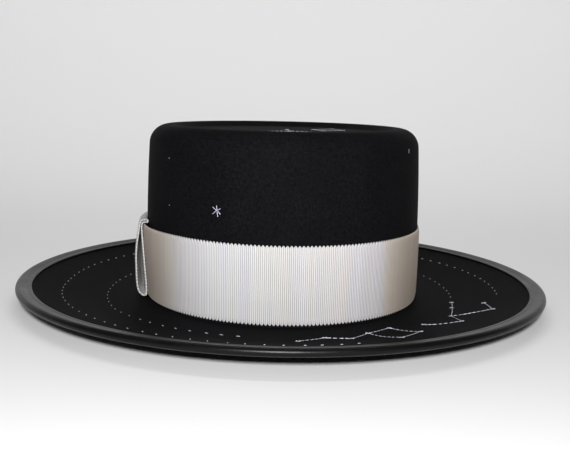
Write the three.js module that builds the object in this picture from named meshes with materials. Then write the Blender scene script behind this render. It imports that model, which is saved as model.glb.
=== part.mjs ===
// A flat-topped wool felt hat with a wide, stiff brim that dishes up to a leather bound edge.
// A broad ribbon band goes round the crown and closes in an upright loop of the same ribbon.
// X runs side to side, Y front to back and Z up. The origin is the middle of the head opening,
// on the flat seat that the hat stands on.
import * as THREE from "three";

// Driving sizes in millimetres.
const HEAD_WIDTH = 168.6; // inside the head opening, side to side
const HEAD_LENGTH = 195; // inside the head opening, front to back
const FELT = 2.5; // wall of the blocked felt
const CROWN_HEIGHT = 110.5; // seat to the top of the crown's rim
const CROWN_LEAN = 1.3; // how far the crown's wall leans in from its foot to its top
const CROWN_BELLY = 1.1; // how far the crown's wall bows out halfway up
const FOOT_RADIUS = 0.8; // crease where the crown meets the brim
const SHOULDER_RADIUS = 12; // roll from the crown's wall to its rim
const RIM_WIDTH = 15; // crown's wall to where the top starts to sink
const RECESS_DEPTH = 3.5; // how far the flat top lies below the rim
const RECESS_RUN = 6.6; // length of the slope from the rim down to the flat top
const RECESS_RADIUS = 9; // rounding at the head and the foot of that slope
const BRIM_WIDTH = 80.6; // crown's wall to the outside of the bound edge
const SEAT_WIDTH = 30; // flat ring round the crown, before the brim turns up
const EDGE_LIFT = 9.1; // rise of the brim from its seat to its edge
const BRIM_BEND = 65; // radius of the turn between the seat and the rising brim
const LEATHER = 1; // wall of the leather binding
const BINDING_WIDTH = 9.5; // width of the binding seen from above
const RIBBON = 1; // wall of the ribbon band
const RIBBON_WIDTH = 45.5; // height of the ribbon band
const RIBBON_RISE = 1; // brim to the lower edge of the band
const KNOT_WALL = 1; // wall of the upright loop
const KNOT_DEPTH = 7; // how far the loop stands out from the band at its front end
const KNOT_BACK_DEPTH = 2.6; // and at its back end
const KNOT_AHEAD = 14; // how far the loop's middle lies ahead of the hat's widest point
const GAP = 0.3; // clearance between two pieces

// Numbers of steps round the oval and along the small curves.
const ROUND_STEPS = 72;
const WALL_STEPS = 4;
const BAND_STEPS = 2;
const ARC_STEP = Math.PI / 10;
const NOSE_STEPS = 6;
const STRIP_STEPS = 6;

// The loop's line from its foot up its inner wall, over the band and down its outer wall.
// out is a share of the loop's depth and up a share of the ribbon's width. lift counts the
// layers of ribbon above the band, tuck is a share of the band's wall by which the fold
// reaches in over it, and wide is a share of the ribbon's width from front to back.
const LOOP_LINE = [
  { out: 0.02, up: 0.05, lift: 0.0, tuck: 0, wide: 1.0 },
  { out: 0.04, up: 0.22, lift: 0.0, tuck: 0, wide: 1.0 },
  { out: 0.15, up: 0.45, lift: 0.0, tuck: 0, wide: 0.99 },
  { out: 0.27, up: 0.7, lift: 0.0, tuck: 0, wide: 0.95 },
  { out: 0.36, up: 0.88, lift: 0.0, tuck: 0, wide: 0.9 },
  { out: 0.38, up: 0.95, lift: 0.0, tuck: 0, wide: 0.88 },
  { out: 0.3, up: 1.0, lift: 0.2, tuck: 0, wide: 0.86 },
  { out: 0.06, up: 1.0, lift: 0.6, tuck: 0, wide: 0.84 },
  { out: 0.0, up: 1.0, lift: 0.62, tuck: 1.25, wide: 0.82 },
  { out: 0.0, up: 1.0, lift: 1.65, tuck: 1.25, wide: 0.82 },
  { out: 0.1, up: 1.0, lift: 1.72, tuck: 0, wide: 0.84 },
  { out: 0.45, up: 1.0, lift: 1.2, tuck: 0, wide: 0.86 },
  { out: 0.6, up: 0.97, lift: 0.2, tuck: 0, wide: 0.89 },
  { out: 0.73, up: 0.87, lift: 0.0, tuck: 0, wide: 0.93 },
  { out: 0.9, up: 0.73, lift: 0.0, tuck: 0, wide: 0.97 },
  { out: 1.0, up: 0.57, lift: 0.0, tuck: 0, wide: 1.0 },
  { out: 0.98, up: 0.38, lift: 0.0, tuck: 0, wide: 1.0 },
  { out: 0.93, up: 0.2, lift: 0.0, tuck: 0, wide: 1.0 },
  { out: 0.8, up: 0.085, lift: 0.0, tuck: 0, wide: 1.0 },
  { out: 0.52, up: 0.03, lift: 0.0, tuck: 0, wide: 1.0 },
  { out: 0.2, up: 0.012, lift: 0.0, tuck: 0, wide: 1.0 },
];

// Sizes that follow from the driving ones.
const EDGE_RADIUS = FELT / 2 + GAP + LEATHER; // half the thickness of the bound edge
const FELT_EDGE = FELT + BRIM_WIDTH - EDGE_RADIUS; // where the felt ends inside its binding
const SEAT_EDGE = FELT + SEAT_WIDTH; // where the brim turns up
const BAND_FOOT = FELT + RIBBON_RISE; // height of the band's lower edge
const BRIM_SLOPE = Math.atan2(EDGE_LIFT, FELT_EDGE - SEAT_EDGE);
const LAYER = KNOT_WALL + GAP; // one layer of ribbon on another

// The crown's outer face leans in from its foot to its top and bows out between them.
function wallOut(up) {
  const share = (up - FELT) / (CROWN_HEIGHT - FELT);
  return FELT - CROWN_LEAN * share + 4 * CROWN_BELLY * share * (1 - share);
}

// A point of an oval that lies a given way outside the head opening.
function ovalPoint(out, up, angle) {
  return [(HEAD_WIDTH / 2 + out) * Math.cos(angle), (HEAD_LENGTH / 2 + out) * Math.sin(angle), up];
}

// A bent line in the plane of offset and height, with each inner corner rounded to its radius.
// Two arcs that would meet on a short leg share it.
function roundedLine(corners) {
  const places = corners.map((corner) => new THREE.Vector2(corner.out, corner.up));
  const legs = places.slice(1).map((place, i) => place.distanceTo(places[i]));
  const turns = places.map((here, i) => {
    if (i === 0 || i === places.length - 1) return 0;
    const back = here.clone().sub(places[i - 1]).normalize();
    const ahead = places[i + 1].clone().sub(here).normalize();
    return Math.acos(THREE.MathUtils.clamp(back.dot(ahead), -1, 1));
  });
  const wanted = corners.map((corner, i) => (corner.radius ?? 0) * Math.tan(turns[i] / 2));
  const reaches = wanted.map((reach, i) => {
    const before = i > 0 ? legs[i - 1] / Math.max(legs[i - 1], wanted[i - 1] + reach) : 1;
    const after = i < legs.length ? legs[i] / Math.max(legs[i], wanted[i + 1] + reach) : 1;
    return reach * Math.min(before, after);
  });
  return places.flatMap((here, i) => {
    if (reaches[i] <= 0) return [here];
    const back = places[i - 1].clone().sub(here).normalize();
    const ahead = places[i + 1].clone().sub(here).normalize();
    const radius = reaches[i] / Math.tan(turns[i] / 2);
    const middle = back.clone().add(ahead).setLength(radius / Math.cos(turns[i] / 2));
    const centre = here.clone().add(middle);
    const start = here.clone().addScaledVector(back, reaches[i]);
    const side = Math.sign(ahead.cross(back));
    const steps = Math.ceil(turns[i] / ARC_STEP);
    return Array.from({ length: steps + 1 }, (_, k) =>
      start.clone().rotateAround(centre, (side * turns[i] * k) / steps));
  });
}

// The same bent line a given distance to its left, as the other face of a wall.
function parallelLine(corners, distance) {
  const steps = corners.slice(1).map((corner, i) => {
    const step = new THREE.Vector2(corner.out - corners[i].out, corner.up - corners[i].up);
    return step.normalize();
  });
  return corners.map((corner, i) => {
    const before = steps[Math.max(i - 1, 0)];
    const after = steps[Math.min(i, steps.length - 1)];
    const shift = new THREE.Vector2(-before.y - after.y, before.x + after.x);
    shift.multiplyScalar(distance / (1 + before.dot(after)));
    const turn = Math.sign(before.cross(after));
    return {
      out: corner.out + shift.x,
      up: corner.up + shift.y,
      radius: Math.max((corner.radius ?? 0) - turn * distance, 0),
    };
  });
}

// Joins a grid of points into a closed skin. Rows close on each other, or end in two poles.
function gridGeometry(rows, poles = null) {
  const positions = rows.flat(2);
  const columns = rows[0].length;
  const index = [];
  const last = poles ? rows.length - 1 : rows.length;
  for (let i = 0; i < last; i += 1) {
    const next = (i + 1) % rows.length;
    for (let j = 0; j < columns; j += 1) {
      const beside = (j + 1) % columns;
      const a = i * columns + j;
      const b = i * columns + beside;
      const c = next * columns + beside;
      const d = next * columns + j;
      index.push(a, b, c, a, c, d);
    }
  }
  if (poles) {
    const first = rows.length * columns;
    positions.push(...poles[0], ...poles[1]);
    for (let j = 0; j < columns; j += 1) {
      const beside = (j + 1) % columns;
      const end = (rows.length - 1) * columns;
      index.push(first, beside, j);
      index.push(first + 1, end + j, end + beside);
    }
  }
  const geometry = new THREE.BufferGeometry();
  geometry.setAttribute("position", new THREE.Float32BufferAttribute(positions, 3));
  geometry.setIndex(index);
  geometry.computeVertexNormals();
  return geometry;
}

// Takes a section round the whole oval, each of its points as one row of the grid.
function sweepRound(section, poles = null) {
  const rows = section.map((point) => {
    const row = [];
    for (let j = 0; j < ROUND_STEPS; j += 1) {
      row.push(ovalPoint(point.x, point.y, (2 * Math.PI * j) / ROUND_STEPS));
    }
    return row;
  });
  return gridGeometry(rows, poles);
}

function makePiece(name, geometry, color, roughness) {
  const material = new THREE.MeshStandardMaterial({ color, roughness, metalness: 0 });
  const piece = new THREE.Mesh(geometry, material);
  piece.name = name;
  return piece;
}

// Crown and brim are blocked from one piece of felt, open below and one wall thick all over.
function makeFeltBody() {
  const rimOut = wallOut(CROWN_HEIGHT) - RIM_WIDTH;
  const topUp = CROWN_HEIGHT - RECESS_DEPTH;
  const wall = Array.from({ length: WALL_STEPS - 1 }, (_, k) => {
    const up = FELT + ((CROWN_HEIGHT - FELT) * (k + 1)) / WALL_STEPS;
    return { out: wallOut(up), up };
  });
  const upperFace = [
    { out: FELT_EDGE, up: FELT + EDGE_LIFT },
    { out: SEAT_EDGE, up: FELT, radius: BRIM_BEND },
    { out: FELT, up: FELT, radius: FOOT_RADIUS },
    ...wall,
    { out: wallOut(CROWN_HEIGHT), up: CROWN_HEIGHT, radius: SHOULDER_RADIUS },
    { out: rimOut, up: CROWN_HEIGHT, radius: RECESS_RADIUS },
    { out: rimOut - RECESS_RUN, up: topUp, radius: RECESS_RADIUS },
    { out: rimOut - 2 * RECESS_RUN, up: topUp },
  ];
  const upper = roundedLine(upperFace);
  const under = roundedLine(parallelLine(upperFace, FELT)).reverse();
  const geometry = sweepRound([...under, ...upper], [[0, 0, topUp - FELT], [0, 0, topUp]]);
  return makePiece("felt_body", geometry, 0x18181a, 0.95);
}

// The leather is folded round the brim's edge, with a clearance to the felt on every side.
function makeBrimBinding() {
  const lip = EDGE_RADIUS - BINDING_WIDTH;
  const slot = FELT / 2 + GAP;
  const section = [[lip, -EDGE_RADIUS]];
  for (let k = 0; k <= NOSE_STEPS; k += 1) {
    const angle = Math.PI * (k / NOSE_STEPS - 0.5);
    section.push([EDGE_RADIUS * Math.cos(angle), EDGE_RADIUS * Math.sin(angle)]);
  }
  section.push([lip, EDGE_RADIUS], [lip, slot]);
  for (let k = 0; k <= NOSE_STEPS; k += 1) {
    const angle = Math.PI * (0.5 - k / NOSE_STEPS);
    section.push([slot * Math.cos(angle), slot * Math.sin(angle)]);
  }
  section.push([lip, -slot]);
  const middle = new THREE.Vector2(FELT_EDGE, FELT + EDGE_LIFT);
  middle.add(new THREE.Vector2(Math.sin(BRIM_SLOPE), -Math.cos(BRIM_SLOPE)).multiplyScalar(FELT / 2));
  const placed = section.map(([along, across]) =>
    new THREE.Vector2(along, across).rotateAround(new THREE.Vector2(), BRIM_SLOPE).add(middle));
  return makePiece("brim_binding", sweepRound(placed), 0x202022, 0.45);
}

// The band follows the crown's wall from just over the brim.
function makeRibbonBand() {
  const section = [];
  for (const face of [RIBBON, 0]) {
    for (let k = 0; k <= BAND_STEPS; k += 1) {
      const share = face > 0 ? k / BAND_STEPS : 1 - k / BAND_STEPS;
      const up = BAND_FOOT + share * RIBBON_WIDTH;
      section.push(new THREE.Vector2(wallOut(up) + GAP + face, up));
    }
  }
  return makePiece("ribbon_band", sweepRound(section), 0xb9b6b2, 0.7);
}

// The loop stands upright at the left side. Its strip of ribbon is a closed ring of one wall,
// pinched at the top, where it is folded in over the band's upper edge. Its outer wall runs
// back nearly straight, so that it stands out most at its front end.
function makeRibbonKnot() {
  const columns = Array.from({ length: STRIP_STEPS + 1 }, (_, j) => {
    const along = j / STRIP_STEPS;
    const depth = THREE.MathUtils.lerp(KNOT_DEPTH, KNOT_BACK_DEPTH, along);
    const line = LOOP_LINE.map((row) => {
      const up = BAND_FOOT + row.up * RIBBON_WIDTH + row.lift * LAYER;
      const face = wallOut(up) + GAP + RIBBON;
      const out = face + GAP + KNOT_WALL / 2 + row.out * depth - row.tuck * RIBBON;
      return new THREE.Vector2(out, up);
    });
    return line.map((point, i) => {
      const before = line[(i + line.length - 1) % line.length];
      const after = line[(i + 1) % line.length];
      const back = point.clone().sub(before).normalize();
      const ahead = after.clone().sub(point).normalize();
      const mitre = new THREE.Vector2(back.y + ahead.y, -back.x - ahead.x);
      mitre.multiplyScalar(KNOT_WALL / 2 / (1 + Math.max(back.dot(ahead), 0)));
      const front = (along - 0.5) * RIBBON_WIDTH * LOOP_LINE[i].wide - KNOT_AHEAD;
      return [-1, 1].map((side) => {
        const out = point.x + side * mitre.x;
        const angle = Math.PI - Math.asin(front / (HEAD_LENGTH / 2 + out));
        return ovalPoint(out, point.y + side * mitre.y, angle);
      });
    });
  });
  const rows = LOOP_LINE.map((_, i) => [
    ...columns.map((column) => column[i][0]),
    ...columns.map((column) => column[i][1]).reverse(),
  ]);
  return makePiece("ribbon_knot", gridGeometry(rows), 0xb9b6b2, 0.7);
}

const hat = new THREE.Group();
hat.add(makeFeltBody(), makeBrimBinding(), makeRibbonBand(), makeRibbonKnot());

export default hat;
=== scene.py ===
"""A flat-crowned black felt hat with a bound brim, a grosgrain band and silver stitching."""
import math

import bpy
import numpy as np
from bpy.props import FloatProperty, FloatVectorProperty, IntProperty, PointerProperty
from mathutils import Matrix, Vector


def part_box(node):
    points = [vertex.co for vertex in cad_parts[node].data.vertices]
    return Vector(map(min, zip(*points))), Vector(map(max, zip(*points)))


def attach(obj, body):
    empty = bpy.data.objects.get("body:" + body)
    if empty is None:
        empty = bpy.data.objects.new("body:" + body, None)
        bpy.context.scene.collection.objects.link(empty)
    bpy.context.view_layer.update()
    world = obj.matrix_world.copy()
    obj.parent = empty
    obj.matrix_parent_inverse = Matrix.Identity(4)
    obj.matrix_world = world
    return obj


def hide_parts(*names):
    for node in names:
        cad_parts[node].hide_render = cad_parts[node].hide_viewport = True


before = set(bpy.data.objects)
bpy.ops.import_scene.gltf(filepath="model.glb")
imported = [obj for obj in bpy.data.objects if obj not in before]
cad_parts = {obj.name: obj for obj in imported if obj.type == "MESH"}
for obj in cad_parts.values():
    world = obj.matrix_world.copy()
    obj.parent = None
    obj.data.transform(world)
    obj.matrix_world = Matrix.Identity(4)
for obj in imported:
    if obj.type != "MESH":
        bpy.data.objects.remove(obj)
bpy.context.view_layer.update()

bl_info = {
    "name": "Flat-crowned felt hat",
    "version": (1, 0, 0),
    "blender": (4, 5, 0),
    "location": "View3D > Sidebar > Felt hat",
    "description": "Builds a bound felt hat with a ribbon band and silver stitching",
    "category": "Object",
}

# The felt body's top corner and the band's box, in metres.
FELT_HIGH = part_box("felt_body")[1]
BAND_LOW, BAND_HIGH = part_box("ribbon_band")

MM = 0.001
BODY = "root"
PHOTO_WIDTH = 570  # pixels


def size_of(name, description, millimetres, **limits):
    """A length property, given in millimetres and kept in metres."""
    return FloatProperty(name=name, description=description, default=millimetres * MM, precision=5,
                         unit="LENGTH", **limits)


def colour_of(name, description, value):
    """A colour property, in sRGB."""
    return FloatVectorProperty(name=name, description=description, subtype="COLOR_GAMMA", size=3,
                               default=value, min=0, max=1)


class HatSizes(bpy.types.PropertyGroup):
    """Sizes of the blocked felt and its leather edge"""
    felt_wall: size_of("Felt wall", "Thickness of the blocked felt", 2.5, min=1 * MM)
    head_width: size_of("Head width", "Inside of the head opening, side to side", 168.6)
    head_length: size_of("Head length", "Inside of the head opening, front to back", 195)
    brim_width: size_of("Brim width", "Crown's wall to the outside of the bound edge", 80.9)
    seat_width: size_of("Seat width", "Flat ring round the crown before the brim turns up", 30)
    edge_lift: size_of("Edge lift", "Rise of the brim from its seat to its edge", 10.4)
    side_drop: size_of("Side drop", "How much lower the brim's edge is at its sides", 1.1)
    brim_bend: size_of("Brim bend", "Radius of the turn between the seat and the rising brim", 65)
    crown_height: size_of("Crown height", "Seat to the top of the crown's rim", FELT_HIGH.z / MM)
    crown_lean: size_of("Crown lean", "How far the crown's wall leans in from foot to top", 1.3)
    crown_belly: size_of("Crown belly", "How far the crown's wall bows out halfway up", 1.1)
    foot_radius: size_of("Foot radius", "Crease where the crown meets the brim", 0.8)
    shoulder_radius: size_of("Shoulder radius", "Roll from the crown's wall to its rim", 12)
    rim_width: size_of("Rim width", "Crown's wall to where the top starts to sink", 15)
    recess_depth: size_of("Recess depth", "How far the flat top lies below the rim", 3.5)
    recess_run: size_of("Recess run", "Length of the slope from the rim to the flat top", 6.6)
    recess_radius: size_of("Recess radius", "Rounding at the head and the foot of that slope", 9)
    leather_wall: size_of("Leather wall", "Thickness of the leather binding", 0.7)
    binding_width: size_of("Binding width", "Width of the binding seen from above", 9.5)
    gap: size_of("Gap", "Clearance between two pieces", 0.3)


class RibbonSizes(bpy.types.PropertyGroup):
    """Sizes of the grosgrain band and its loop"""
    wall: size_of("Ribbon wall", "Thickness of the ribbon with its ribs", 1)
    rib_pitch: size_of("Rib pitch", "Distance from rib to rib along the ribbon", 1.11)
    rib_depth: size_of("Rib depth", "How far the ribs stand out of the ribbon", 0.15)
    scallop_depth: size_of("Scallop depth", "Depth of the small curves along both edges", 1.2)
    ribs_per_scallop: IntProperty(
        name="Ribs per scallop", description="Ribs in each small curve of the edge", default=2)
    loop_depth: size_of("Loop depth", "How far the loop stands out at its front end", 5.7)
    loop_back_depth: size_of("Loop back depth", "How far the loop stands out at its back end", 2.6)
    loop_ahead: size_of("Loop ahead", "The loop's middle lies this far ahead of the side", 11.5)


class StitchSizes(bpy.types.PropertyGroup):
    """Sizes of the silver stitching"""
    thread: size_of("Thread", "Thickness of the silver thread", 0.42)
    ring_stitch: size_of("Ring stitch", "Visible length of a stitch of the two rings", 2.2)
    ring_pitch: size_of("Ring pitch", "Distance from stitch to stitch along a ring", 9.6)
    line_stitch: size_of("Line stitch", "Visible length of a stitch of the star lines", 3.0)
    inner_ring: size_of("Inner ring", "Crown's wall to the inner stitch ring", 23.5)
    outer_ring: size_of("Outer ring", "Crown's wall to the outer stitch ring", 51.3)
    seed: IntProperty(name="Seed", description="Seed of the hand's unevenness", default=7)


class HatColours(bpy.types.PropertyGroup):
    """Colours as the eye sees them, in sRGB"""
    felt: colour_of("Felt", "Black wool felt", (0.053, 0.053, 0.059))
    leather: colour_of("Leather", "Black glazed leather", (0.035, 0.033, 0.032))
    ribbon: colour_of("Ribbon", "Silver grey grosgrain", (0.80, 0.795, 0.79))
    thread: colour_of("Thread", "Silver embroidery thread", (0.86, 0.86, 0.88))


# Colour and node helpers.
def linear(colour):
    """An sRGB hex text, or three sRGB numbers, as a linear colour with full alpha."""
    if isinstance(colour, str):
        colour = [int(colour[i:i + 2], 16) / 255 for i in (1, 3, 5)]
    return [c / 12.92 if c <= 0.04045 else ((c + 0.055) / 1.055) ** 2.4 for c in colour] + [1.0]


def add_node(tree, kind, settings=None, inputs=None):
    """Adds a node. An input given as (node, output) is linked, and any other is set."""
    node = tree.nodes.new(kind)
    for name, value in (settings or {}).items():
        setattr(node, name, value)
    for name, value in (inputs or {}).items():
        if isinstance(value, tuple) and isinstance(value[0], bpy.types.Node):
            tree.links.new(value[0].outputs[value[1]], node.inputs[name])
        else:
            node.inputs[name].default_value = value
    return node


def new_material(name):
    """An empty node material and its tree."""
    material = bpy.data.materials.new(name)
    material.use_nodes = True
    material.node_tree.nodes.clear()
    return material, material.node_tree


def finish_material(material, tree, inputs):
    """Adds the surface shader with these inputs, and joins it to the output."""
    shader = add_node(tree, "ShaderNodeBsdfPrincipled", {}, inputs)
    add_node(tree, "ShaderNodeOutputMaterial", {}, {"Surface": (shader, "BSDF")})
    return material


def shaded(colour, *factors):
    """A linear colour times one factor, or times one each for red, green and blue."""
    factors = factors * 3 if len(factors) == 1 else factors
    return [c * f for c, f in zip(colour, factors)] + [1.0]


def add_noise(tree, place, scale, detail, roughness=0.5, distortion=0.0):
    """Noise over the object's own coordinates."""
    return add_node(tree, "ShaderNodeTexNoise", {}, {
        "Vector": (place, "Object"), "Scale": scale, "Detail": detail, "Roughness": roughness,
        "Distortion": distortion})


def add_bump(tree, height, strength, distance, under=None):
    """A bump from a height, laid over another bump if one is given."""
    inputs = {"Strength": strength, "Distance": distance, "Height": height}
    if under:
        inputs["Normal"] = (under, "Normal")
    return add_node(tree, "ShaderNodeBump", {}, inputs)


def add_range(tree, value, start, end, low=0.0, high=1.0, **settings):
    """Maps a value from one range to another, held at both ends."""
    return add_node(tree, "ShaderNodeMapRange", settings, {
        "Value": value, "From Min": start, "From Max": end, "To Min": low, "To Max": high})


def add_math(tree, operation, *values):
    """A math node on one or two values."""
    return add_node(tree, "ShaderNodeMath", {"operation": operation}, dict(enumerate(values)))


def add_mix(tree, share, first, second, blend="MIX"):
    """Mixes two colours. Its colour is output 2."""
    return add_node(tree, "ShaderNodeMix", {"data_type": "RGBA", "blend_type": blend}, {
        0: share, 6: first, 7: second})


def add_ramp(tree, share, rows):
    """A colour ramp over rows of position and colour."""
    ramp = add_node(tree, "ShaderNodeValToRGB", {}, {"Fac": share})
    marks = ramp.color_ramp.elements
    marks[0].position, marks[0].color = rows[0]
    marks[1].position, marks[1].color = rows[-1]
    for position, colour in rows[1:-1]:
        marks.new(position).color = colour
    return ramp


# Lines and surfaces.
def rounded_line(corners, steps):
    """A bent line of (out, up, radius) corners, each inner corner rounded to its radius.

    Steps are for a quarter turn. Two arcs that would meet on a short leg share it."""
    places = [Vector(corner[:2]) for corner in corners]
    legs = [(b - a).length for a, b in zip(places, places[1:])]
    turns = [0.0] * len(places)
    for i in range(1, len(places) - 1):
        turns[i] = (places[i] - places[i - 1]).angle(places[i + 1] - places[i])
    wanted = [corner[2] * math.tan(turn / 2) for corner, turn in zip(corners, turns)]
    points = []
    for i, here in enumerate(places):
        reach = wanted[i]
        if i > 0:
            reach = min(reach, wanted[i] * legs[i - 1] / max(legs[i - 1], wanted[i - 1] + wanted[i]))
        if i < len(legs):
            reach = min(reach, wanted[i] * legs[i] / max(legs[i], wanted[i + 1] + wanted[i]))
        if reach <= 0:
            points.append(here)
            continue
        back = (places[i - 1] - here).normalized()
        ahead = (places[i + 1] - here).normalized()
        radius = reach / math.tan(turns[i] / 2)
        centre = here + (back + ahead).normalized() * (radius / math.cos(turns[i] / 2))
        start = here + back * reach - centre
        side = math.copysign(1, ahead.x * back.y - ahead.y * back.x)
        count = max(2, math.ceil(steps * turns[i] / (math.pi / 2)))
        for k in range(count + 1):
            points.append(centre + Matrix.Rotation(side * turns[i] * k / count, 2) @ start)
    return points


def parallel_line(corners, distance):
    """The same bent line a given distance to its left."""
    places = [Vector(corner[:2]) for corner in corners]
    steps = [(b - a).normalized() for a, b in zip(places, places[1:])]
    shifted = []
    for i, corner in enumerate(corners):
        before = steps[max(i - 1, 0)]
        after = steps[min(i, len(steps) - 1)]
        shift = Vector((-before.y - after.y, before.x + after.x))
        shift *= distance / (1 + before.dot(after))
        cross = before.x * after.y - before.y * after.x
        turn = 0 if abs(cross) < 1e-9 else math.copysign(1, cross)
        radius = max(corner[2] - turn * distance, 0)
        shifted.append((corner[0] + shift.x, corner[1] + shift.y, radius))
    return shifted


def fill_line(points, longest):
    """Adds points so that no step of the line is longer than given."""
    filled = [points[0]]
    for a, b in zip(points, points[1:]):
        count = max(1, math.ceil((b - a).length / longest))
        filled += [a.lerp(b, (k + 1) / count) for k in range(count)]
    return filled


def wall_out(up):
    """How far the crown's outer face lies outside the head opening at a height."""
    hat = bpy.context.scene.hat_sizes
    share = (up - hat.felt_wall) / (hat.crown_height - hat.felt_wall)
    return hat.felt_wall - hat.crown_lean * share + 4 * hat.crown_belly * share * (1 - share)


def head_half():
    """Half the width and half the length of the head opening."""
    hat = bpy.context.scene.hat_sizes
    return hat.head_width / 2, hat.head_length / 2


def oval(out, up, angle):
    """Points of an oval a given way outside the head opening, as an array of x, y, z."""
    hat = bpy.context.scene.hat_sizes
    half_width, half_length = head_half()
    out, up, angle = np.broadcast_arrays(out, up, angle)
    # The brim's sides hang a little lower than its front and back.
    share = np.clip((out - hat.seat_width) / (hat.brim_width - hat.seat_width), 0, 1.05)
    drop = hat.side_drop * (1 + 0.2 * np.cos(angle)) * np.cos(angle) ** 2
    up = up - drop * share ** 2
    return np.stack([(half_width + out) * np.cos(angle), (half_length + out) * np.sin(angle), up], -1)


def brim_corners():
    """The brim's upper face as a bent line from its edge to the crown's foot."""
    hat = bpy.context.scene.hat_sizes
    edge_radius = hat.felt_wall / 2 + hat.gap + hat.leather_wall
    felt_edge = hat.felt_wall + hat.brim_width - edge_radius
    return [
        (felt_edge, hat.felt_wall + hat.edge_lift, 0),
        (hat.felt_wall + hat.seat_width, hat.felt_wall, hat.brim_bend),
        (hat.felt_wall, hat.felt_wall, hat.foot_radius),
    ]


def brim_up(out):
    """Height of the brim's upper face at a distance from the head opening."""
    line = rounded_line(brim_corners(), 24)
    outs = [p.x for p in line][::-1]
    ups = [p.y for p in line][::-1]
    return np.interp(out, outs, ups)


def grid_mesh(name, points, close_rows=True, close_columns=True, poles=(), uvs=None):
    """A mesh from a grid of points, closed round rows or columns, with poles at its ends."""
    rows, columns = points.shape[:2]
    i = np.arange(rows if close_rows else rows - 1)[:, None]
    j = np.arange(columns if close_columns else columns - 1)[None, :]
    down = (i + 1) % rows
    beside = (j + 1) % columns
    quads = np.stack([i * columns + j, i * columns + beside,
                      down * columns + beside, down * columns + j], -1).reshape(-1, 4)
    vertices = [tuple(p) for p in points.reshape(-1, 3)]
    faces = quads.tolist()
    for end, pole in enumerate(poles):
        vertices.append(tuple(pole))
        first = end * (rows - 1) * columns
        for k in range(columns):
            pair = [first + k, first + (k + 1) % columns]
            faces.append([len(vertices) - 1] + (pair[::-1] if end == 0 else pair))
    mesh = bpy.data.meshes.new(name)
    mesh.from_pydata(vertices, [], faces)
    mesh.shade_smooth()
    if uvs is not None:
        corner_uv = uvs[quads.ravel()]
        layer = mesh.uv_layers.new(name="ribbon_metres")
        layer.data.foreach_set("uv", corner_uv.astype(np.float32).ravel())
    piece = bpy.data.objects.new(name, mesh)
    bpy.context.scene.collection.objects.link(piece)
    return piece


def add_piece(piece, material, replaced=()):
    """Gives a piece its material and body, and hides the nodes it stands for."""
    piece.data.materials.clear()
    piece.data.materials.append(material)
    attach(piece, BODY)
    if replaced:
        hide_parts(*replaced)


# Materials.
def wool_felt(colour):
    """Blocked wool felt: matt, with a short matted nap that scatters a little light."""
    material, tree = new_material("black_wool_felt")
    place = add_node(tree, "ShaderNodeTexCoord")
    # Matted fibre clumps about 1.2 mm across give the soft mottling.
    clumps = add_noise(tree, place, 820.0, 5.0, 0.62, 0.6)
    # Single paler fibres show as short broken flecks.
    flecks = add_noise(tree, place, 1900.0, 3.0, 0.7, 2.4)
    # Steaming and brushing leave broad, faint clouds a few centimetres across.
    clouds = add_noise(tree, place, 32.0, 3.0)
    dark = linear(colour)
    tone = add_ramp(tree, (clumps, "Fac"), [(0.3, shaded(dark, 0.45)), (0.72, shaded(dark, 2.2))])
    fleck_mask = add_range(tree, (flecks, "Fac"), 0.6, 0.78, 0.0, 0.75)
    flecked = add_mix(tree, (fleck_mask, "Result"), (tone, "Color"), linear("#34363d"))
    cloud_mask = add_range(tree, (clouds, "Fac"), 0.35, 0.65, 0.0, 0.35)
    cloudy = add_mix(tree, (cloud_mask, "Result"), (flecked, 2), shaded(dark, 0.8))
    fuzz = add_bump(tree, (clumps, "Fac"), 0.4, 0.3 * MM)
    nap = add_bump(tree, (flecks, "Fac"), 0.25, 0.15 * MM, fuzz)
    return finish_material(material, tree, {
        "Base Color": (cloudy, 2), "Roughness": 0.62, "Specular IOR Level": 0.01,
        "Normal": (nap, "Normal")})


def glazed_leather(colour):
    """Glazed calf leather: a smooth finish over fine pores, with soft, broad reflections."""
    material, tree = new_material("black_glazed_leather")
    place = add_node(tree, "ShaderNodeTexCoord")
    # Pores about 0.7 mm apart, pressed nearly flat by glazing.
    pores = add_node(tree, "ShaderNodeTexVoronoi", {"feature": "DISTANCE_TO_EDGE"}, {
        "Vector": (place, "Object"), "Scale": 1400.0})
    # Stretching round the edge leaves long, shallow ripples 8 mm or so apart.
    ripples = add_noise(tree, place, 120.0, 2.0, 0.4)
    handling = add_noise(tree, place, 45.0, 6.0, 0.6)
    gloss = add_range(tree, (handling, "Fac"), 0.3, 0.7, 0.3, 0.39)
    dark = linear(colour)
    tone = add_mix(tree, (handling, "Fac"), shaded(dark, 0.8), shaded(dark, 1.35))
    rippled = add_bump(tree, (ripples, "Fac"), 0.35, 0.5 * MM)
    grained = add_bump(tree, (pores, "Distance"), 0.3, 0.06 * MM, rippled)
    return finish_material(material, tree, {
        "Base Color": (tone, 2), "Roughness": (gloss, "Result"), "Specular IOR Level": 0.17,
        "Normal": (grained, "Normal")})


# Painted shade and sheen on the band, from its left side over its front to its right side: its sides
# are painted darker and warmer where the light falls off, and a little brighter and lilac where its
# sheen shows. Each row is millimetres to the right of the hat's middle, and factors of the ribbon's colour.
BAND_PAINTED_SHADE_AND_SHEEN = [
    (-90, (0.57, 0.50, 0.44, 1)), (-79, (0.64, 0.55, 0.48, 1)), (-69, (0.74, 0.69, 0.61, 1)),
    (-56, (0.98, 0.96, 0.99, 1)), (-40, (1.03, 1.04, 1.06, 1)), (0, (0.93, 0.93, 0.93, 1)),
    (45, (1.05, 1.03, 1.06, 1)), (58, (1.00, 0.97, 1.00, 1)), (63, (0.85, 0.76, 0.67, 1)),
    (74, (0.68, 0.60, 0.51, 1)), (90, (0.62, 0.54, 0.47, 1)),
]
LOOP_TONES = [(-90, (1.00, 1.00, 0.98, 1)), (90, (1.00, 1.00, 0.98, 1))]


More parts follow.
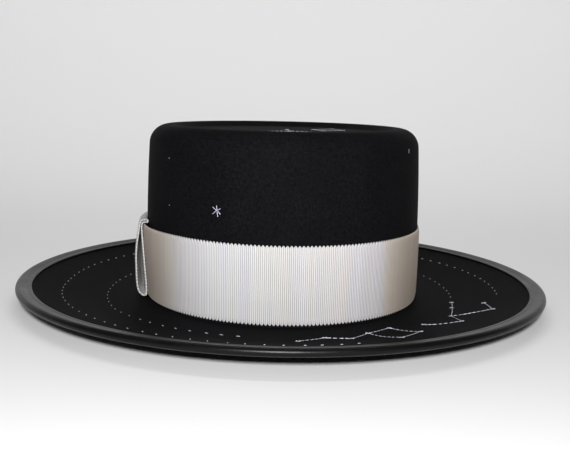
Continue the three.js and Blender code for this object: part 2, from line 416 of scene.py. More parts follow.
def grosgrain(name, colour, pitch, painted_side_tones):
    """Rayon grosgrain: a close warp over thick weft cords gives cross ribs with a soft sheen."""
    material, tree = new_material(name)
    place = add_node(tree, "ShaderNodeUVMap", {"uv_map": "ribbon_metres"})
    apart = add_node(tree, "ShaderNodeSeparateXYZ", {}, {"Vector": (place, "UV")})
    rib = add_math(tree, "DIVIDE", (apart, "X"), pitch)
    # Light is lost between the cords, at whole numbers of ribs.
    whole = add_math(tree, "ROUND", (rib, "Value"))
    from_whole = add_math(tree, "SUBTRACT", (rib, "Value"), (whole, "Value"))
    off_groove = add_math(tree, "ABSOLUTE", (from_whole, "Value"))
    groove = add_range(tree, (off_groove, "Value"), 0.04, 0.3, 0.52, 1.0,
                       interpolation_type="SMOOTHSTEP")
    # Each cord takes the light a little differently.
    cord = add_math(tree, "FLOOR", (rib, "Value"))
    cord_tone = add_node(tree, "ShaderNodeTexWhiteNoise", {"noise_dimensions": "1D"}, {
        "W": (cord, "Value")})
    shade = add_range(tree, (cord_tone, "Value"), 0.0, 1.0, 0.96, 1.02)
    # Streaks run along the ribs, a few ribs wide and centimetres long, some warmer, some cooler.
    stretch = add_node(tree, "ShaderNodeMapping", {}, {
        "Vector": (place, "UV"), "Scale": (130.0, 14.0, 1.0)})
    streaks = add_node(tree, "ShaderNodeTexNoise", {}, {
        "Vector": (stretch, "Vector"), "Scale": 1.0, "Detail": 2.0, "Roughness": 0.5})
    # Warp threads, 0.3 mm apart, cross the ribs.
    warp_place = add_node(tree, "ShaderNodeMapping", {}, {
        "Vector": (place, "UV"), "Scale": (0.0, 1.0, 1.0)})
    warp = add_node(tree, "ShaderNodeTexWave", {"bands_direction": "Y", "wave_type": "BANDS"}, {
        "Vector": (warp_place, "Vector"), "Scale": 1050.0, "Distortion": 0.0})
    base = linear(colour)
    streaked = add_ramp(tree, (streaks, "Fac"), [
        (0.25, shaded(base, 0.97, 0.96, 1.03)), (0.5, base), (0.75, shaded(base, 1.03, 1.0, 0.97))])
    # Painted shade and sheen: the ribbon's sides are painted warmer and darker than its front, where the
    # light falls off, and brighter where its sheen shows.
    solid = add_node(tree, "ShaderNodeTexCoord")
    solid_apart = add_node(tree, "ShaderNodeSeparateXYZ", {}, {"Vector": (solid, "Object")})
    first, last = painted_side_tones[0][0], painted_side_tones[-1][0]
    across = add_range(tree, (solid_apart, "X"), first * MM, last * MM)
    painted_side_shade = add_ramp(tree, (across, "Result"), [
        ((aside - first) / (last - first), tone) for aside, tone in painted_side_tones])
    # The painted side shade and sheen darken and tint the ribbon's colour.
    side_shaded_colour = add_mix(tree, 1.0, (streaked, "Color"), (painted_side_shade, "Color"), "MULTIPLY")
    light = add_math(tree, "MULTIPLY", (shade, "Result"), (groove, "Result"))
    toned = add_node(tree, "ShaderNodeVectorMath", {"operation": "SCALE"}, {
        0: (side_shaded_colour, 2), "Scale": (light, "Value")})
    threads = add_bump(tree, (warp, "Fac"), 0.35, 0.08 * MM)
    return finish_material(material, tree, {
        "Base Color": (toned, "Vector"), "Roughness": 0.6, "Specular IOR Level": 0.2,
        "Normal": (threads, "Normal")})


def matt_paint(name, colour):
    """Matt wall paint with the faint unevenness of a roller."""
    material, tree = new_material(name)
    place = add_node(tree, "ShaderNodeTexCoord")
    stipple = add_noise(tree, place, 300.0, 2.0)
    bump = add_bump(tree, (stipple, "Fac"), 0.1, 0.3 * MM)
    return finish_material(material, tree, {
        "Base Color": linear(colour), "Roughness": 0.8, "Specular IOR Level": 0.2,
        "Normal": (bump, "Normal")})


def silver_thread(name, colour, metal, rough):
    """Metallised embroidery thread: fine foil wound on a core, so it glints in short dashes."""
    material, tree = new_material(name)
    place = add_node(tree, "ShaderNodeTexCoord")
    foil = add_noise(tree, place, 1500.0, 2.0)
    tone = add_mix(tree, (foil, "Fac"), linear(colour), linear("#c6c3d6"))
    bump = add_bump(tree, (foil, "Fac"), 0.5, 0.1 * MM)
    return finish_material(material, tree, {
        "Base Color": (tone, 2), "Metallic": metal, "Roughness": rough, "Normal": (bump, "Normal")})


# Pieces.
class HAT_OT_felt(bpy.types.Operator):
    """Build the crown and brim from one piece of felt"""
    bl_idname = "hat.felt"
    bl_label = "Felt crown and brim"

    def execute(self, context):
        hat = context.scene.hat_sizes
        colours = context.scene.hat_colours
        rim_out = wall_out(hat.crown_height) - hat.rim_width
        top_up = hat.crown_height - hat.recess_depth
        rise = hat.crown_height - hat.felt_wall
        wall = [hat.felt_wall + rise * k / 12 for k in range(1, 10)]
        upper_face = brim_corners() + [(wall_out(up), up, 0) for up in wall] + [
            (wall_out(hat.crown_height), hat.crown_height, hat.shoulder_radius),
            (rim_out, hat.crown_height, hat.recess_radius),
            (rim_out - hat.recess_run, top_up, hat.recess_radius),
            (rim_out - 2 * hat.recess_run, top_up, 0),
        ]
        columns = 224
        longest = 4.5 * MM
        angle = np.arange(columns) * 2 * math.pi / columns
        upper = fill_line(rounded_line(upper_face, 10), longest)
        under = fill_line(rounded_line(parallel_line(upper_face, hat.felt_wall), 10), longest)
        section = under[::-1] + upper
        rows = np.array([oval(p.x, p.y, angle) for p in section])
        # The flat top runs on to its middle in rings that shrink.
        shares = np.linspace(0.15, 0.85, 6)[:, None, None]
        bottom = rows[0][None] * [1, 1, 0] * shares + [0, 0, top_up - hat.felt_wall]
        top = rows[-1][None] * [1, 1, 0] * shares[::-1] + [0, 0, top_up]
        rows = np.concatenate([bottom, rows, top])
        poles = [(0, 0, top_up - hat.felt_wall), (0, 0, top_up)]
        piece = grid_mesh("felt_hat", rows, close_rows=False, poles=poles)
        add_piece(piece, wool_felt(colours.felt), ["felt_body"])
        return {"FINISHED"}


class HAT_OT_binding(bpy.types.Operator):
    """Fold the leather binding round the brim's edge"""
    bl_idname = "hat.binding"
    bl_label = "Leather binding"

    def execute(self, context):
        hat = context.scene.hat_sizes
        colours = context.scene.hat_colours
        radius = hat.felt_wall / 2 + hat.gap + hat.leather_wall
        slot = hat.felt_wall / 2 + hat.gap
        lip = radius - hat.binding_width
        turned = 0.2 * hat.leather_wall  # the turned lip stands this much proud
        hollow = 0.25 * hat.leather_wall  # the leather draws in this much behind the lip
        soft = 0.35 * hat.leather_wall
        nose = [Vector((radius * math.cos(a), radius * math.sin(a)))
                for a in np.radians(np.linspace(-90, 90, 25))]
        under = [
            (lip, -slot, 0), (lip, -radius - turned, soft), (lip * 0.78, -radius - turned, 2 * soft),
            (lip * 0.6, -radius + hollow, 4 * soft), (lip * 0.3, -radius, 6 * soft), (0, -radius, 0),
        ]
        over = [(along, -across, rounding) for along, across, rounding in reversed(under)]
        inner = [(lip, slot, 0), (slot, slot, slot), (slot, -slot, slot), (lip, -slot, 0)]
        section = rounded_line(under, 6)[:-1] + nose + rounded_line(over, 6)[1:-1]
        section += rounded_line(inner, 6)[:-1]
        corners = brim_corners()
        slope = math.atan2(corners[0][1] - corners[1][1], corners[0][0] - corners[1][0])
        middle = Vector((corners[0][0], corners[0][1]))
        middle += Vector((math.sin(slope), -math.cos(slope))) * (hat.felt_wall / 2)
        turn = Matrix.Rotation(slope, 2)
        placed = [middle + turn @ p for p in section]
        columns = 288
        angle = np.arange(columns) * 2 * math.pi / columns
        rows = np.array([oval(p.x, p.y, angle) for p in placed])
        piece = grid_mesh("leather_binding", rows)
        add_piece(piece, glazed_leather(colours.leather), ["brim_binding"])
        return {"FINISHED"}


def ribbed(share, ribbon):
    """How far a ribbon's cords stand out and its scalloped edge draws in, at a count of ribs."""
    cord = np.abs(np.sin(math.pi * share)) ** 0.7
    scallop = np.abs(np.sin(math.pi * share / ribbon.ribs_per_scallop)) ** 1.3
    return cord * ribbon.rib_depth, (1 - scallop) * ribbon.scallop_depth


# A ribbon's section: share of its width, share of its wall, share of the scallops' depth.
RIBBON_FACE = [
    (0.000, 0.15, 1.0), (0.004, 0.32, 1.0), (0.014, 0.42, 0.9), (0.026, 0.52, 0.6), (0.045, 0.7, 0.2),
    (0.08, 0.92, 0.0), (0.29, 0.92, 0.0), (0.50, 0.92, 0.0), (0.71, 0.92, 0.0), (0.92, 0.92, 0.0),
    (0.955, 0.7, 0.2), (0.974, 0.52, 0.6), (0.986, 0.42, 0.9), (0.996, 0.32, 1.0), (1.000, 0.15, 1.0),
    (0.990, 0.00, 0.9), (0.500, 0.00, 0.0), (0.010, 0.00, 0.9),
]


def lifted_band(angle, share, ribbon):
    """How far the band lifts off the crown towards its top where it runs into the loop."""
    lift = ribbon.loop_depth * np.interp(share, (0.2, 0.45, 0.7, 0.9), (0.0, 0.13, 0.27, 0.35))
    # The lift grows over 26 degrees ahead of the loop and over 20 degrees behind it.
    near = np.clip((np.radians(228) - angle) / np.radians(26), 0, 1)
    far = np.clip((angle - np.radians(158)) / np.radians(20), 0, 1)
    reach = near * far
    return lift * reach * reach * (3 - 2 * reach)


class HAT_OT_band(bpy.types.Operator):
    """Wrap the grosgrain band round the crown"""
    bl_idname = "hat.band"
    bl_label = "Grosgrain band"

    def execute(self, context):
        hat = context.scene.hat_sizes
        ribbon = context.scene.ribbon_sizes
        half_width, half_length = head_half()
        mean = (half_width + half_length) / 2 + wall_out(BAND_LOW.z)
        scallops = round(2 * math.pi * mean / (ribbon.rib_pitch * ribbon.ribs_per_scallop))
        ribs = scallops * ribbon.ribs_per_scallop
        steps_per_rib = 5
        share = np.arange(ribs * steps_per_rib) / steps_per_rib
        # Ribs are evenly spaced along the oval, not in its angle.
        fine = np.linspace(0, 2 * math.pi, 4001)
        track = oval(wall_out(BAND_LOW.z), 0, fine)
        run = np.concatenate([[0], np.cumsum(np.linalg.norm(np.diff(track, axis=0), axis=1))])
        angle = np.interp(share / ribs * run[-1], run, fine)
        low, high = BAND_LOW.z, BAND_HIGH.z
        cord, scallop = ribbed(share, ribbon)
        rows = []
        uvs = []
        for across, wall, edge in RIBBON_FACE:
            side = 1 if across < 0.5 else -1
            up = low + (high - low) * across + side * scallop * edge
            body = (ribbon.wall - ribbon.rib_depth) * wall
            out = wall_out(up) + hat.gap + body + (cord if wall > 0.3 else 0 * cord)
            out = out + lifted_band(angle, (up - low) / (high - low), ribbon)
            rows.append(oval(out, up, angle))
            uvs.append(np.stack([share * ribbon.rib_pitch, up + 0 * share], -1))
        piece = grid_mesh("grosgrain_band", np.array(rows), uvs=np.concatenate(uvs))
        material = grosgrain("silver_grosgrain_band", context.scene.hat_colours.ribbon,
                             ribbon.rib_pitch, BAND_PAINTED_SHADE_AND_SHEEN)
        add_piece(piece, material, ["ribbon_band"])
        return {"FINISHED"}


# The upright loop's line: share of its depth out from the band, share of the band's height,
# layers of ribbon above the band, share of the wall tucked in over the band, and share of the
# ribbon's width from front to back.
LOOP_LINE = [
    (0.02, 0.05, 0.0, 0, 1.0), (0.04, 0.22, 0.0, 0, 1.0), (0.15, 0.45, 0.0, 0, 0.99),
    (0.27, 0.70, 0.0, 0, 0.95), (0.36, 0.88, 0.0, 0, 0.90), (0.38, 0.95, 0.0, 0, 0.88),
    (0.30, 1.00, 0.2, 0, 0.86), (0.06, 1.00, 0.6, 0, 0.84), (0.00, 1.00, 0.62, 1.25, 0.82),
    (0.00, 1.00, 1.15, 1.6, 0.82), (0.00, 1.00, 1.65, 1.25, 0.82), (0.10, 1.00, 1.72, 0, 0.84),
    (0.45, 1.00, 1.2, 0, 0.86), (0.60, 0.97, 0.2, 0, 0.89), (0.73, 0.87, 0.0, 0, 0.93),
    (0.90, 0.73, 0.0, 0, 0.97), (1.00, 0.57, 0.0, 0, 1.0), (0.98, 0.38, 0.0, 0, 1.0),
    (0.93, 0.20, 0.0, 0, 1.0), (0.80, 0.085, 0.0, 0, 1.0), (0.52, 0.03, 0.0, 0, 1.0),
    (0.20, 0.012, 0.0, 0, 1.0),
]


def smooth_ring(rows, count):
    """A closed Catmull-Rom curve through rows of numbers, at even shares of its points."""
    rows = np.array(rows)
    places = np.arange(count) * len(rows) / count
    i = np.floor(places).astype(int)
    t = (places - i)[:, None]
    a, b, c, d = (rows[(i + k) % len(rows)] for k in (-1, 0, 1, 2))
    return b + 0.5 * t * (c - a + t * (2 * a - 5 * b + 4 * c - d + t * (3 * (b - c) + d - a)))


class HAT_OT_loop(bpy.types.Operator):
    """Close the band with an upright loop of the same ribbon"""
    bl_idname = "hat.loop"
    bl_label = "Ribbon loop"

    def execute(self, context):
        hat = context.scene.hat_sizes
        ribbon = context.scene.ribbon_sizes
        half_width, half_length = head_half()
        width = BAND_HIGH.z - BAND_LOW.z
        wall = ribbon.wall
        points = 460
        line = smooth_ring(LOOP_LINE, points)
        up = BAND_LOW.z + line[:, 1] * width + line[:, 2] * (wall + hat.gap)
        face = np.array([wall_out(u) for u in up]) + hat.gap + wall
        base = face + hat.gap + wall / 2 - line[:, 3] * wall

        def strip_line(along):
            """The loop's line at a share of its way from front to back."""
            depth = ribbon.loop_depth + (ribbon.loop_back_depth - ribbon.loop_depth) * along
            # A little slack lets the outer wall ripple where it is gathered at the top.
            slack = 0.5 * MM * np.sin(along * 3 * math.pi + 0.6) * line[:, 0] * (1.2 - line[:, 1])
            return np.stack([base + line[:, 0] * depth + slack, up], -1)

        middle = strip_line(0.0)
        steps = np.linalg.norm(np.roll(middle, -1, 0) - middle, axis=1)
        length = steps.sum()
        scallops = round(length / (ribbon.rib_pitch * ribbon.ribs_per_scallop))
        share = np.concatenate([[0], np.cumsum(steps)[:-1]]) / length
        share = share * scallops * ribbon.ribs_per_scallop
        cord, scallop = ribbed(share, ribbon)
        strips = [0, 0.012, 0.03, 0.07, 0.16, 0.28, 0.4, 0.5, 0.6, 0.72, 0.84, 0.93, 0.97, 0.988, 1]
        rows = []
        uvs = []
        for side in (-1, 1):
            for along in strips[::-side]:
                flat = strip_line(along)
                ahead = np.roll(flat, -1, 0) - np.roll(flat, 1, 0)
                ahead /= np.linalg.norm(ahead, axis=1)[:, None]
                outward = np.stack([ahead[:, 1], -ahead[:, 0]], -1)
                edge = max(0, (abs(2 * along - 1) - 0.9) / 0.1)
                # Folding stretches the loop's edges, so their scallops are shallower.
                drawn = np.sign(0.5 - along) * 0.45 * scallop * edge
                front = (along - 0.5) * width * line[:, 4] - ribbon.loop_ahead + drawn
                rim = 1.12 if 0.3 < edge < 0.9 else 1.0 - 0.5 * max(0, edge - 0.8) / 0.2
                thick = (wall / 2 - ribbon.rib_depth) * rim + cord
                place = flat + outward * (side * thick)[:, None]
                angle = math.pi - np.arcsin(front / (half_length + place[:, 0]))
                rows.append(oval(place[:, 0], place[:, 1], angle))
                uvs.append(np.stack([share * ribbon.rib_pitch, along * width + 0 * share], -1))
        piece = grid_mesh("grosgrain_loop", np.array(rows), uvs=np.concatenate(uvs))
        material = grosgrain("silver_grosgrain_loop", context.scene.hat_colours.ribbon,
                             ribbon.rib_pitch, LOOP_TONES)
        add_piece(piece, material, ["ribbon_knot"])
        return {"FINISHED"}


# Stitching.
def thread_stitch():
    """One stitch of two-ply thread, a unit long along X and one thread thick, dipping at its ends."""
    steps, sides = 10, 8
    rows = []
    for k in range(steps + 1):
        share = k / steps
        arch = math.sin(math.pi * share)
        swell = 0.25 + 0.75 * min(1, 3.2 * arch)
        angle = np.arange(sides) * 2 * math.pi / sides
        radius = 0.5 * swell * (1 + 0.2 * np.cos(2 * (angle - 2.2 * math.pi * share)))
        rows.append(np.stack([np.full(sides, share - 0.5), radius * np.cos(angle),
                              radius * np.sin(angle) + 0.5 * arch - 0.3], -1))
    return grid_mesh("stitch_source", np.array(rows), close_rows=False,
                     poles=[(-0.5, 0, -0.3), (0.5, 0, -0.3)])


def stitch_tree():
    """Geometry nodes that lay a stitch on each point, along its thread and up from the felt."""
    tree = bpy.data.node_groups.new("lay_stitches", "GeometryNodeTree")
    sockets = tree.interface
    for name, kind in (("Geometry", "Geometry"), ("Stitch", "Object"), ("Thread", "Float"),
                       ("Wander", "Float"), ("Seed", "Int"), ("Material", "Material")):
        sockets.new_socket(name, in_out="INPUT", socket_type="NodeSocket" + kind)
    sockets.new_socket("Geometry", in_out="OUTPUT", socket_type="NodeSocketGeometry")
    given = add_node(tree, "NodeGroupInput")
    along, upward, length = (
        add_node(tree, "GeometryNodeInputNamedAttribute", {"data_type": kind}, {"Name": name})
        for name, kind in (("along", "FLOAT_VECTOR"), ("upward", "FLOAT_VECTOR"), ("length", "FLOAT")))
    facing = add_node(tree, "FunctionNodeAxesToRotation", {"primary_axis": "X", "secondary_axis": "Z"}, {
        "Primary Axis": (along, "Attribute"), "Secondary Axis": (upward, "Attribute")})
    wander = add_math(tree, "MULTIPLY", (given, "Wander"), -1.0)
    turn = add_node(tree, "FunctionNodeRandomValue", {"data_type": "FLOAT"}, {
        2: (wander, "Value"), 3: (given, "Wander"), "Seed": (given, "Seed")})
    euler = add_node(tree, "ShaderNodeCombineXYZ", {}, {"Z": (turn, 1)})
    swing = add_node(tree, "FunctionNodeEulerToRotation", {}, {"Euler": (euler, "Vector")})
    turned = add_node(tree, "FunctionNodeRotateRotation", {"rotation_space": "LOCAL"}, {
        "Rotation": (facing, "Rotation"), "Rotate By": (swing, "Rotation")})
    size = add_node(tree, "ShaderNodeCombineXYZ", {}, {
        "X": (length, "Attribute"), "Y": (given, "Thread"), "Z": (given, "Thread")})
    source = add_node(tree, "GeometryNodeObjectInfo", {}, {"Object": (given, "Stitch")})
    laid = add_node(tree, "GeometryNodeInstanceOnPoints", {}, {
        "Points": (given, "Geometry"), "Instance": (source, "Geometry"),
        "Rotation": (turned, "Rotation"), "Scale": (size, "Vector")})
    real = add_node(tree, "GeometryNodeRealizeInstances", {}, {"Geometry": (laid, "Instances")})
    finished = add_node(tree, "GeometryNodeSetMaterial", {}, {
        "Geometry": (real, "Geometry"), "Material": (given, "Material")})
    add_node(tree, "NodeGroupOutput", {}, {"Geometry": (finished, "Geometry")})
    return tree


def lay_stitches(name, stitches, thread, wander, seed, material):
    """Lays stitches given as (place, along, upward, length) and makes them one plain mesh."""
    tree = bpy.data.node_groups.get("lay_stitches") or stitch_tree()
    source = bpy.data.objects.get("stitch_source") or thread_stitch()
    source.hide_render = True
    mesh = bpy.data.meshes.new(name + "_points")
    mesh.from_pydata([tuple(s[0]) for s in stitches], [], [])
    for attribute, column in (("along", 1), ("upward", 2)):
        layer = mesh.attributes.new(attribute, "FLOAT_VECTOR", "POINT")
        layer.data.foreach_set("vector", np.array([s[column] for s in stitches], np.float32).ravel())
    layer = mesh.attributes.new("length", "FLOAT", "POINT")
    layer.data.foreach_set("value", np.array([s[3] for s in stitches], np.float32))
    points = bpy.data.objects.new(name + "_points", mesh)
    bpy.context.scene.collection.objects.link(points)
    modifier = points.modifiers.new("lay_stitches", "NODES")
    modifier.node_group = tree
    values = {"Stitch": source, "Thread": thread, "Wander": wander, "Seed": seed,
              "Material": material}
    for item in tree.interface.items_tree:
        if item.in_out == "INPUT" and item.name in values:
            modifier[item.identifier] = values[item.name]
    bpy.context.view_layer.update()
    graph = bpy.context.evaluated_depsgraph_get()
    laid = bpy.data.meshes.new_from_object(points.evaluated_get(graph))
    bpy.data.objects.remove(points)
    laid.shade_smooth()
    piece = bpy.data.objects.new(name, laid)
    bpy.context.scene.collection.objects.link(piece)
    add_piece(piece, material)


def face_point(face, reach, angle):
    """A point of a face given as a function of reach and angle, and the way across both there."""
    here = face(reach, angle)
    across = face(reach + 0.5 * MM, angle) - here
    onward = face(reach, angle + 0.01) - here
    normal = np.cross(across, onward)
    return here, normal / np.linalg.norm(normal)


def brim_point(out, angle):
    """A point on the brim's upper face, and the way up from the felt there."""
    return face_point(lambda o, a: oval(o, brim_up(o), a), out, angle)


def wall_point(up, angle):
    """A point on the crown's wall, and the way out from the felt there."""
    here, inward = face_point(lambda u, a: oval(wall_out(u), u, a), up, angle)
    return here, -inward


def running_stitches(track, pitch, length, rng):
    """Stitches along a track of (place, upward) pairs, one to a pitch."""
    places = np.array([t[0] for t in track])
    upwards = np.array([t[1] for t in track])
    run = np.concatenate([[0], np.cumsum(np.linalg.norm(np.diff(places, axis=0), axis=1))])
    count = max(1, int(run[-1] / pitch))

    def value(rows, at):
        return np.array([np.interp(at, run, rows[:, i]) for i in range(3)])

    stitches = []
    for k in range(count):
        at = (k + 0.5) * run[-1] / count + rng.uniform(-0.08, 0.08) * pitch
        along = value(places, at + 0.5 * MM) - value(places, at - 0.5 * MM)
        stitches.append((value(places, at), along / np.linalg.norm(along), value(upwards, at),
                         length * rng.uniform(0.85, 1.12)))
    return stitches


# How the hand-sewn rings wander. Each row is an angle round the hat in degrees, how far each
# ring lies outside its even track in millimetres, and the share of a stitch that shows.
RING_COLUMNS = ("angle", "inner", "outer", "inner_shown", "outer_shown")
RING_TRACK = [dict(zip(RING_COLUMNS, row)) for row in (
    (-12, 0.3, 1.2, 1.0, 1.0), (10, 1.2, 1.8, 1.0, 1.0), (25, 3.2, 2.1, 1.0, 1.0),
    (90, 0.6, 1.5, 1.0, 1.0), (158, 0.7, 2.0, 0.9, 0.9), (182, 1.3, 0.7, 0.9, 0.9),
    (200, 2.8, 2.6, 0.8, 0.9), (212, 3.8, 3.3, 0.8, 0.8), (226, 1.6, 2.8, 0.8, 0.7),
    (243, -0.2, 2.2, 0.8, 0.6), (248, -1.0, 1.0, 0.9, 0.3), (261, -2.0, -1.5, 1.1, 0.3),
    (264, -2.0, -2.0, 1.1, 0.6), (275, -2.0, -2.8, 1.1, 0.8), (290, -2.0, -2.2, 1.1, 0.8),
)]


class HAT_OT_rings(bpy.types.Operator):
    """Sew the two rings of running stitches on the brim"""
    bl_idname = "hat.rings"
    bl_label = "Stitch rings"

    def execute(self, context):
        sizes = context.scene.stitch_sizes
        hat = context.scene.hat_sizes
        rng = np.random.default_rng(sizes.seed)
        material = silver_thread("silver_ring_thread", "#a9a9ae", 0.3, 0.5)
        # Each ring stops where the star figures begin, given as angles round the hat in degrees.
        rings = [("inner", sizes.inner_ring, -8.0, 261.2), ("outer", sizes.outer_ring, -9.5, 289.5)]
        stitches = []
        half_width, half_length = head_half()
        known = [row["angle"] for row in RING_TRACK]
        for ring, reach, start, end in rings:
            angles = np.linspace(start, end, 240)
            wander = np.interp(angles, known, [row[ring] * MM for row in RING_TRACK])
            track = [brim_point(hat.felt_wall + reach + extra, math.radians(a))
                     for a, extra in zip(angles, wander)]
            shown = [row[ring + "_shown"] for row in RING_TRACK]
            for place, along, upward, length in running_stitches(
                    track, sizes.ring_pitch, sizes.ring_stitch, rng):
                angle = math.degrees(math.atan2(place[1] / half_length, place[0] / half_width))
                angle = angle + 360 if angle < known[0] else angle
                stitches.append((place, along, upward, length * np.interp(angle, known, shown)))
        lay_stitches("brim_ring_stitches", stitches, sizes.thread, 0.12, sizes.seed, material)
        return {"FINISHED"}


# Star figures on the brim. Each star is (angle round the hat in degrees, share of the way from
# the crown to the binding), and each line joins two stars by their numbers.
BRIM_FIGURES = [
    {
        "stars": [(-85, 0.38), (-77, 0.30), (-70, 0.37), (-63, 0.28), (-54, 0.24), (-51, 0.50), (-60, 0.60)],
        "lines": [(0, 1), (1, 2), (2, 3), (3, 4), (4, 5), (5, 6), (6, 3)],
    },
    {
        "stars": [(-43, 0.36), (-37, 0.60), (-30, 0.42), (-24, 0.72), (-16, 0.62), (-20, 0.36), (-13, 0.34)],
        "lines": [(0, 1), (1, 2), (2, 3), (3, 4), (2, 5), (5, 6)],
    },
]

# Star figures on the flat top. Each star is (side to side, front to back) as shares of the top's
# half width and half length.
TOP_FIGURES = [
    {
        "stars": [(-0.45, -0.35), (-0.20, -0.12), (0.05, -0.02), (0.30, -0.10), (0.02, 0.30), (-0.02, -0.42)],
        "lines": [(0, 1), (1, 2), (2, 3), (2, 4), (2, 5)],
    },
    {
        "stars": [(0.30, 0.42), (0.52, 0.62), (0.62, 0.38), (0.40, 0.18)],
        "lines": [(0, 1), (1, 2), (2, 3), (3, 0)],
    },
]


def star_stitches(place, upward, sideways, reach, arms, rng):
    """A small, slightly uneven star of straight stitches from a middle point outwards."""
    ahead = np.cross(upward, sideways)
    stitches = []
    for k in range(arms):
        angle = 2 * math.pi * k / arms + math.pi / 2 + rng.uniform(-0.2, 0.2)
        along = math.cos(angle) * sideways + math.sin(angle) * ahead
        length = reach * rng.uniform(0.7, 1.15)
        stitches.append((place + along * length * 0.52, along, upward, length))
    return stitches


class HAT_OT_figures(bpy.types.Operator):
    """Sew the star figures on the brim and the flat top"""
    bl_idname = "hat.figures"
    bl_label = "Star figures"

    def execute(self, context):
        sizes = context.scene.stitch_sizes
        hat = context.scene.hat_sizes
        rng = np.random.default_rng(sizes.seed + 1)
        material = silver_thread("silver_line_thread", context.scene.hat_colours.thread, 0.45, 0.38)
        stitches = []
        free = hat.brim_width - hat.binding_width

        def brim_star(star):
            return brim_point(hat.felt_wall + star[1] * free, math.radians(star[0]))

        half_width, half_length = head_half()
        shrink = wall_out(hat.crown_height) - hat.rim_width - hat.recess_run
        top_up = hat.crown_height - hat.recess_depth

        def top_star(star):
            place = (star[0] * (half_width + shrink), star[1] * (half_length + shrink), top_up)
            return np.array(place), np.array((0.0, 0.0, 1.0))

        for figures, star_point in ((BRIM_FIGURES, brim_star), (TOP_FIGURES, top_star)):
            for figure in figures:
                for a, b in figure["lines"]:
                    ends = np.array([figure["stars"][a], figure["stars"][b]], float)
                    track = [star_point(ends[0] + (ends[1] - ends[0]) * t)
                             for t in np.linspace(0.06, 0.94, 12)]
                    stitches += running_stitches(track, sizes.line_stitch * 0.9,
                                                 sizes.line_stitch, rng)
                for star in figure["stars"]:
                    place, upward = star_point(star)
                    sideways = np.cross(upward, (0.0, 0.0, 1.0) if abs(upward[2]) < 0.5 else (0, 1, 0))
                    sideways /= np.linalg.norm(sideways)
                    stitches += star_stitches(place, upward, sideways, 1.8 * MM, 5, rng)
        lay_stitches("star_figure_stitches", stitches, 0.85 * sizes.thread, 0.16, sizes.seed + 1,
                     material)
        return {"FINISHED"}


# Single stars on the crown's wall: angle round the hat in degrees, height in millimetres, length
# of an arm in millimetres, number of arms, and whether the thread is bright.
WALL_STARS = [
    {"angle": -114.5, "up": 66.3, "arm": 3.4, "arms": 6, "bright": True},
    {"angle": -30.6, "up": 98.9, "arm": 1.2, "arms": 2, "bright": False},
    {"angle": -140.2, "up": 92.6, "arm": 0.45, "arms": 3, "bright": False},
    {"angle": -139.1, "up": 65.4, "arm": 0.4, "arms": 3, "bright": False},
]


class HAT_OT_wall_stars(bpy.types.Operator):
    """Sew the single stars on the crown's wall"""
    bl_idname = "hat.wall_stars"
    bl_label = "Crown stars"

    def execute(self, context):
        sizes = context.scene.stitch_sizes
        bright = silver_thread("lilac_star_thread", "#d3cdf0", 0.2, 0.4)
        dull = silver_thread("grey_knot_thread", "#2e2e34", 0.1, 0.6)
        rng = np.random.default_rng(sizes.seed + 2)
        for name, shown, material in (("crown_star", True, bright), ("crown_knots", False, dull)):
            stitches = []
            for star in WALL_STARS:
                if star["bright"] != shown:
                    continue
                place, outward = wall_point(star["up"] * MM, math.radians(star["angle"]))
                sideways = np.cross((0.0, 0.0, 1.0), outward)
                sideways /= np.linalg.norm(sideways)
                stitches += star_stitches(place, outward, sideways, star["arm"] * MM, star["arms"],
                                          rng)
            thick = sizes.thread * (0.85 if shown else 0.55)
            lay_stitches(name, stitches, thick, 0.1, sizes.seed + 2, material)
        return {"FINISHED"}


# Stage.
CAMERA_DISTANCE = 588 * MM  # from the hat's middle
CAMERA_HEIGHT = 132 * MM  # over the floor
CAMERA_SIDE = 1.7 * MM  # the hat stands this much left of the camera's axis
CAMERA_PITCH = 8.55  # degrees down
CAMERA_ROLL = 1.29  # degrees, so that the picture's right side is lower
FOCAL_PIXELS = 905  # focal length in the photo's pixels
SENSOR = 36.0  # millimetres along the picture's width

# Lamps: name, place and target in metres, width and height in metres, and power in watts.
LAMPS = [
    ("hat_lamp", (0, -0.82, 0.31), (0, -0.08, 0.04), (0.08, 0.08), 8.5),
    ("wall_lamp", (0, 0.35, 1.3), (0, 1.6, 0.4), (1.2, 0.3), 12.0),
]


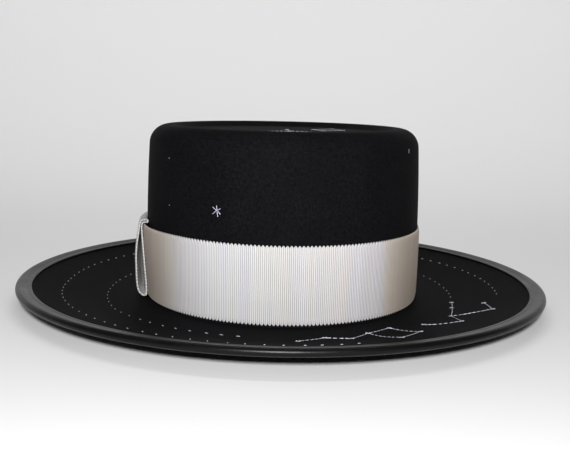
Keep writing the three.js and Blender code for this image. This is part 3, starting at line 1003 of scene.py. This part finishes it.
class HAT_OT_stage(bpy.types.Operator):
    """Set the floor, the backdrop, the lights and the camera"""
    bl_idname = "hat.stage"
    bl_label = "Stage"

    def execute(self, context):
        scene = context.scene
        # A round pale floor that sweeps up into a curved wall behind the hat.
        line = [Vector((0.001, 0)), Vector((0.25, 0))]
        line += rounded_line([(0.4, 0, 0), (1.7, 0, 1.2), (1.7, 1.4, 0)], 16)
        angle = np.radians(np.arange(0, 360, 2.5))
        rise = np.clip((np.sin(angle) - 0.1) / 0.5, 0, 1)
        rise = rise * rise * (3 - 2 * rise)
        points = np.array([np.stack([p.x * np.cos(angle), p.x * np.sin(angle), p.y * rise], -1)
                           for p in line])
        board = grid_mesh("pale_floor", points, close_rows=False)
        board.data.materials.append(matt_paint("matt_pale_paint", "#f1f0f0"))

        camera = bpy.data.cameras.new("photo_camera")
        camera.sensor_width = SENSOR
        camera.lens = FOCAL_PIXELS * SENSOR / PHOTO_WIDTH
        camera.clip_start = 0.01
        camera_object = bpy.data.objects.new("photo_camera", camera)
        scene.collection.objects.link(camera_object)
        camera_object.location = (CAMERA_SIDE, -CAMERA_DISTANCE, CAMERA_HEIGHT)
        tilt = Matrix.Rotation(math.radians(90 - CAMERA_PITCH), 4, "X")
        roll = Matrix.Rotation(math.radians(CAMERA_ROLL), 4, "Z")
        camera_object.rotation_euler = (tilt @ roll).to_euler()
        scene.camera = camera_object

        # A small lamp over the camera lights the hat, and a broad one over it lights the wall.
        for name, place, target, size, power in LAMPS:
            lamp = bpy.data.lights.new(name, "AREA")
            lamp.shape = "RECTANGLE"
            lamp.size, lamp.size_y = size
            lamp.energy = power
            lamp_object = bpy.data.objects.new(name, lamp)
            scene.collection.objects.link(lamp_object)
            lamp_object.location = place
            facing = (Vector(target) - Vector(place)).to_track_quat("-Z", "Y")
            lamp_object.rotation_euler = facing.to_euler()
        world = bpy.data.worlds.new("even_sky")
        world.use_nodes = True
        world.node_tree.nodes["Background"].inputs["Color"].default_value = linear("#e9eaee")
        world.node_tree.nodes["Background"].inputs["Strength"].default_value = 0.1
        scene.world = world
        scene.view_settings.view_transform = "Standard"
        return {"FINISHED"}


class HAT_PT_panel(bpy.types.Panel):
    """The hat's pieces and sizes"""
    bl_idname = "HAT_PT_panel"
    bl_label = "Felt hat"
    bl_space_type = "VIEW_3D"
    bl_region_type = "UI"
    bl_category = "Felt hat"

    def draw(self, context):
        for group in ("hat_sizes", "ribbon_sizes", "stitch_sizes", "hat_colours"):
            box = self.layout.box()
            values = getattr(context.scene, group)
            for name in values.bl_rna.properties.keys():
                if name not in ("rna_type", "name"):
                    box.prop(values, name)
        for operator in OPERATORS:
            self.layout.operator(operator.bl_idname)


GROUPS = {"hat_sizes": HatSizes, "ribbon_sizes": RibbonSizes, "stitch_sizes": StitchSizes,
          "hat_colours": HatColours}
OPERATORS = [HAT_OT_stage, HAT_OT_felt, HAT_OT_binding, HAT_OT_band, HAT_OT_loop, HAT_OT_rings,
             HAT_OT_figures, HAT_OT_wall_stars]


def register():
    """Registers the sizes, the operators and the panel."""
    for name, group in GROUPS.items():
        bpy.utils.register_class(group)
        setattr(bpy.types.Scene, name, PointerProperty(type=group))
    for operator in OPERATORS:
        bpy.utils.register_class(operator)
    bpy.utils.register_class(HAT_PT_panel)


def unregister():
    """Takes them away again."""
    bpy.utils.unregister_class(HAT_PT_panel)
    for operator in reversed(OPERATORS):
        bpy.utils.unregister_class(operator)
    for name, group in reversed(GROUPS.items()):
        delattr(bpy.types.Scene, name)
        bpy.utils.unregister_class(group)


def main():
    """Builds the hat piece by piece."""
    register()
    for operator in OPERATORS:
        group, name = operator.bl_idname.split(".")
        getattr(getattr(bpy.ops, group), name)()
    bpy.data.objects.remove(bpy.data.objects["stitch_source"])


if __name__ == "__main__":
    main()
